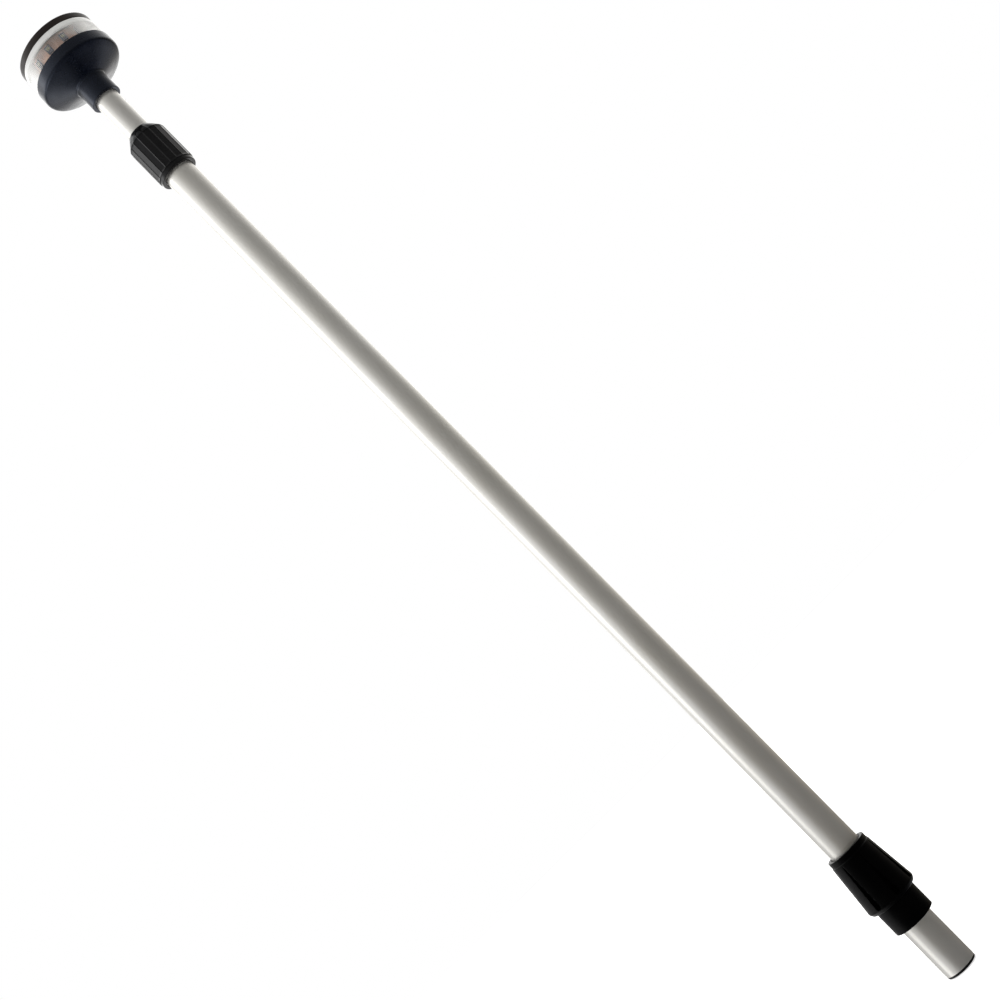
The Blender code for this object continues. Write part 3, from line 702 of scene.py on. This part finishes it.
def make_cap():
    """The domed cap: a gasket groove below, three counterbored holes on top and a tab at the front."""
    bottom = low("top_cap")[2]
    crown = high("top_cap")[2]
    radius = outer_radius("top_cap")
    edge = 953.3 * MM
    recess_r, recess = 30.5 * MM, 950.2 * MM
    groove_in, groove_out, groove_top = 32.2 * MM, 34.0 * MM, 950.0 * MM
    corners = [(0, recess, 0), (recess_r, recess, 0.3 * MM), (recess_r, bottom, 0.2 * MM)]
    corners += [(groove_in, bottom, 0.1 * MM), (groove_in, groove_top, 0)]
    corners += [(groove_out, groove_top, 0), (groove_out, bottom, 0.1 * MM)]
    corners += [(radius, bottom, 0.2 * MM), (radius, edge, 1.1 * MM)]
    corners += [(30.0 * MM, 953.8 * MM, 4 * MM), (20.0 * MM, 954.85 * MM, 8 * MM)]
    corners += [(9.0 * MM, 955.45 * MM, 6 * MM), (0, crown, 0)]
    mesh = turned_mesh("cap_shell", filleted(corners, 5), 144)
    cap = add_piece("cap_shell", mesh, CAP_BLACK, "inner_mast", ["top_cap"])
    below, seat, above = 946 * MM, 952.2 * MM, 958 * MM
    sink_r = 3.2 * MM
    sink = [(0, below), (SCREW_HOLE_R, below), (SCREW_HOLE_R, seat)]
    sink += [(sink_r, seat), (sink_r, above), (0, above)]
    tools = []
    for _, (x, y) in screw_places():
        counterbore = turned_mesh("counterbore", sink, 48)
        tools.append(tool_object("counterbore", counterbore, Matrix.Translation((x, y, 0))))
    cut_away(cap, tools)
    tab = box_mesh("cap_tab", (4.2 * MM, 1.0 * MM, 1.7 * MM), 0.2 * MM)
    tab.transform(Matrix.Translation((0.8 * MM, -31.2 * MM, bottom + 0.2 * MM)))
    add_piece("cap_tab", tab, CAP_BLACK, "inner_mast", [])


def make_cap_screws():
    """Pan heads with a cross recess, as seen from above in the cap's counterbores."""
    shank, head_r, head = 1.4 * MM, 2.8 * MM, 952.5 * MM
    for index, (x, y) in screw_places():
        node = f"cap_screw_{index}"
        tip = low(node)[2]
        crown = high(node)[2]
        corners = [(0, tip, 0), (shank, tip + 0.8 * MM, 0.1 * MM), (shank, head, 0)]
        corners += [(head_r, head, 0.1 * MM), (head_r, head + 0.9 * MM, 0.5 * MM)]
        corners += [(1.9 * MM, crown, 0.5 * MM), (0, crown, 0)]
        mesh = turned_mesh(node + "_detail", filleted(corners), 48)
        mesh.transform(Matrix.Translation((x, y, 0)))
        screw = add_piece(node + "_detail", mesh, MATERIALS["stainless_steel"], "inner_mast", [node])
        tools = []
        for turn in (0.4 * index, 0.4 * index + math.pi / 2):
            arm = box_mesh("cross_arm", (2.9 * MM, 0.55 * MM, 2.4 * MM))
            place = Matrix.Translation((x, y, crown)) @ Matrix.Rotation(turn, 4, "Z")
            tools.append(tool_object("cross_arm", arm, place))
        cut_away(screw, tools)


def make_set_screw():
    """A grub screw with a hexagon socket in the back of the neck."""
    node = "neck_set_screw"
    outer, inner = high(node)[1], low(node)[1]
    corners = [(0, inner, 0), (1.0 * MM, inner, 0), (1.5 * MM, inner + 0.5 * MM, 0.1 * MM)]
    corners += [(1.5 * MM, outer - 0.3 * MM, 0.1 * MM), (1.2 * MM, outer, 0.05 * MM), (0, outer, 0)]
    mesh = turned_mesh("set_screw_detail", filleted(corners, 3), 36)
    mesh.transform(TO_BACK)
    height = centre(node, 2)
    mesh.transform(Matrix.Translation((0, 0, height)))
    screw = add_piece("set_screw_detail", mesh, MATERIALS["stainless_steel"], "inner_mast", [node])
    key_r, depth, clear = 0.75 * MM, outer - 1.2 * MM, outer + 1 * MM
    key = [(0, depth), (key_r, depth), (key_r, clear), (0, clear)]
    place = Matrix.Translation((0, 0, height)) @ TO_BACK
    cut_away(screw, [tool_object("hex_key", turned_mesh("hex_key", key, 6), place)])


def make_led_board():
    """The flexible board wrapped round its drum."""
    thickness = 0.7 * MM
    radius = outer_radius("led_board")
    inner = radius - thickness
    bottom, top = low("led_board")[2], high("led_board")[2]
    corners = [(inner, bottom, 0.1 * MM), (radius, bottom, 0.15 * MM)]
    corners += [(radius, top, 0.15 * MM), (inner, top, 0.1 * MM)]
    mesh = turned_mesh("led_board_wrap", filleted(corners, 3), 128)
    add_piece("led_board_wrap", mesh, MATERIALS["copper_board"], "inner_mast", ["led_board"])


def make_leds():
    """Each LED: a dark body with an olive phosphor window."""
    for index in range(1, LEDS + 1):
        node = f"led_{index}"
        middle = (low(node) + high(node)) / 2
        angle = math.atan2(middle[1], middle[0])
        place = Matrix.Translation(middle) @ Matrix.Rotation(angle, 4, "Z")
        body = box_mesh(node + "_body", (1.5 * MM, 5.0 * MM, 6.8 * MM), 0.3 * MM)
        body.transform(place)
        add_piece(node + "_body", body, MATERIALS["capacitor_sleeve"], "inner_mast", [node])
        window = box_mesh(node + "_window", (0.5 * MM, 3.0 * MM, 2.6 * MM), 0.2 * MM)
        window.transform(place @ Matrix.Translation((0.72 * MM, 0, 0.6 * MM)))
        add_piece(node + "_window", window, MATERIALS["led_phosphor"], "inner_mast", [])


# ---- Light, floor and camera ----

EYE_DISTANCE = 1093 * MM
AIM_HEIGHT = 452.9 * MM
LOOK_UP = math.radians(9.0)
ROLL = math.radians(44.59)
LENS_MM = 54.0
SENSOR_MM = 36.0
SIDE_STEP = -0.9 * MM


def place_camera():
    camera = bpy.data.objects.new("camera", bpy.data.cameras.new("camera"))
    bpy.context.scene.collection.objects.link(camera)
    forward = Vector((0, math.cos(LOOK_UP), math.sin(LOOK_UP)))
    right = Vector((1, 0, 0))
    up = right.cross(forward)
    tilted_right = right * math.cos(ROLL) - up * math.sin(ROLL)
    tilted_up = right * math.sin(ROLL) + up * math.cos(ROLL)
    axes = Matrix((tilted_right, tilted_up, -forward)).transposed().to_4x4()
    eye = Vector((SIDE_STEP, 0, AIM_HEIGHT)) - forward * EYE_DISTANCE
    camera.matrix_world = Matrix.Translation(eye) @ axes
    camera.data.lens = LENS_MM
    camera.data.sensor_width = SENSOR_MM
    camera.data.clip_start = 0.02
    bpy.context.scene.camera = camera


# Brightness of the studio around the pole: 0 and 1 are behind it, 0.25 is left, 0.5 is the camera
# and 0.75 is right.
AROUND = ((0.0, 2.0), (0.045, 2.2), (0.10, 1.2), (0.16, 1.15), (0.19, 1.3), (0.215, 2.8))
AROUND += ((0.25, 3.3), (0.275, 1.9), (0.30, 1.05), (0.335, 1.1), (0.367, 0.95))
AROUND += ((0.386, 0.82), (0.405, 0.66), (0.425, 0.54), (0.445, 0.46), (0.5, 0.345), (0.536, 0.29))
AROUND += ((0.575, 0.255), (0.66, 0.215), (0.71, 0.24), (0.75, 0.35), (0.81, 0.54), (0.86, 0.9))
AROUND += ((0.92, 1.15), (0.955, 2.2), (1.0, 2.0))
# Brightness from straight down to straight up, with 0.5 level with the horizon. The right side's low
# light is warm and dim, and the left side's is stronger. LEFT_SHARE says where around the left's is used.
RISE_RIGHT = ((0.0, (0.05, 0.05, 0.06)), (0.10, (0.12, 0.12, 0.14)), (0.2, (0.5, 0.5, 0.52)))
RISE_RIGHT += ((0.30, (0.18, 0.17, 0.16)), (0.38, (0.06, 0.045, 0.03)))
RISE_RIGHT += ((0.45, (0.42, 0.36, 0.28)), (0.51, (0.70, 0.66, 0.59)), (0.58, (0.94, 0.92, 0.86)))
RISE_RIGHT += ((0.65, (1.13, 1.12, 1.07)), (0.72, (1.25, 1.23, 1.19)), (1.0, (1.6, 1.6, 1.58)))
RISE_LEFT = ((0.0, 0.1), (0.10, 0.4), (0.2, 1.2), (0.30, 0.7), (0.38, 0.28), (0.45, 0.6), (0.51, 0.9))
RISE_LEFT += ((0.58, 1.0), (0.72, 1.02), (1.0, 1.4))
LEFT_SHARE = ((0.0, 0.7), (0.12, 1.0), (0.36, 1.0), (0.44, 0.0), (0.90, 0.0), (0.94, 0.5), (1.0, 0.7))
BRIGHTEST = 3.5  # a colour ramp holds at most 1, so brightness is stored as a share of this


def make_world():
    """White paper to the camera, and to other rays a studio that is brightest at the left and behind."""
    world = bpy.data.worlds.new("studio")
    bpy.context.scene.world = world
    world.use_nodes = True
    nodes, links = world.node_tree.nodes, world.node_tree.links
    nodes.clear()
    output = nodes.new("ShaderNodeOutputWorld")
    direction = nodes.new("ShaderNodeTexCoord").outputs["Generated"]
    split = nodes.new("ShaderNodeSeparateXYZ")
    links.new(direction, split.inputs["Vector"])
    turn = nodes.new("ShaderNodeMath")
    turn.operation = "ARCTAN2"
    links.new(split.outputs["X"], turn.inputs[0])
    flip = nodes.new("ShaderNodeMath")
    flip.operation = "MULTIPLY"
    flip.inputs[1].default_value = -1.0
    links.new(split.outputs["Y"], flip.inputs[0])
    links.new(flip.outputs["Value"], turn.inputs[1])
    azimuth = nodes.new("ShaderNodeMapRange")
    azimuth.inputs["From Min"].default_value = -math.pi
    azimuth.inputs["From Max"].default_value = math.pi
    links.new(turn.outputs["Value"], azimuth.inputs["Value"])
    ring = ramp_node(nodes, AROUND, BRIGHTEST)
    ring.color_ramp.interpolation = "B_SPLINE"
    links.new(azimuth.outputs["Result"], ring.inputs["Fac"])
    climb = nodes.new("ShaderNodeMapRange")
    climb.inputs["From Min"].default_value = -1.0
    links.new(split.outputs["Z"], climb.inputs["Value"])
    right_rise = ramp_node(nodes, RISE_RIGHT, BRIGHTEST)
    left_rise = ramp_node(nodes, RISE_LEFT, BRIGHTEST)
    leftness = ramp_node(nodes, LEFT_SHARE, 1.0)
    links.new(climb.outputs["Result"], right_rise.inputs["Fac"])
    links.new(climb.outputs["Result"], left_rise.inputs["Fac"])
    links.new(azimuth.outputs["Result"], leftness.inputs["Fac"])
    rise = nodes.new("ShaderNodeMix")
    rise.data_type = "RGBA"
    links.new(leftness.outputs["Color"], rise.inputs["Factor"])
    links.new(right_rise.outputs["Color"], rise.inputs["A"])
    links.new(left_rise.outputs["Color"], rise.inputs["B"])
    product = nodes.new("ShaderNodeMix")
    product.data_type = "RGBA"
    product.blend_type = "MULTIPLY"
    product.inputs["Factor"].default_value = 1.0
    links.new(ring.outputs["Color"], product.inputs["A"])
    links.new(rise.outputs["Result"], product.inputs["B"])
    studio = nodes.new("ShaderNodeBackground")
    studio.inputs["Strength"].default_value = BRIGHTEST**2
    links.new(product.outputs["Result"], studio.inputs["Color"])
    paper = nodes.new("ShaderNodeBackground")
    paper.inputs["Color"].default_value = (1, 1, 1, 1)
    seen = nodes.new("ShaderNodeLightPath")
    choice = nodes.new("ShaderNodeMixShader")
    links.new(seen.outputs["Is Camera Ray"], choice.inputs["Fac"])
    links.new(studio.outputs["Background"], choice.inputs[1])
    links.new(paper.outputs["Background"], choice.inputs[2])
    links.new(choice.outputs["Shader"], output.inputs["Surface"])


def ramp_node(nodes, stops, brightest):
    """A colour ramp of (position, brightness) or (position, (r, g, b)) stops, as shares of brightest."""
    node = nodes.new("ShaderNodeValToRGB")
    ramp = node.color_ramp
    ramp.elements.remove(ramp.elements[-1])
    for index, (position, value) in enumerate(stops):
        color = value if isinstance(value, tuple) else (value,) * 3
        element = ramp.elements.new(position) if index else ramp.elements[0]
        element.position = position
        element.color = (*(channel / brightest for channel in color), 1.0)
    return node


def make_floor():
    """Pale paper just under the plug, lit from within and not mirrored in the pole."""
    bpy.ops.mesh.primitive_plane_add(size=12, location=(0, 0, -0.5 * MM))
    floor = bpy.context.object
    floor.name = "floor"
    paper = bpy.data.materials.new("floor_paper")
    paper.use_nodes = True
    shader = paper.node_tree.nodes["Principled BSDF"]
    shader.inputs["Base Color"].default_value = (0.9, 0.9, 0.9, 1)
    shader.inputs["Roughness"].default_value = 0.9
    shader.inputs["Specular IOR Level"].default_value = 0.0
    shader.inputs["Emission Color"].default_value = (1, 1, 1, 1)
    shader.inputs["Emission Strength"].default_value = 0.55
    floor.data.materials.append(paper)
    floor.visible_glossy = False


def main():
    place_camera()
    bpy.context.scene.view_settings.view_transform = "Standard"
    finish_cad_nodes()
    make_tubes()
    make_plug()
    make_locking_collar()
    make_twist_collar()
    make_housing()
    make_lens()
    make_cap()
    make_cap_screws()
    make_set_screw()
    make_led_board()
    make_leds()
    make_world()
    make_floor()


main()
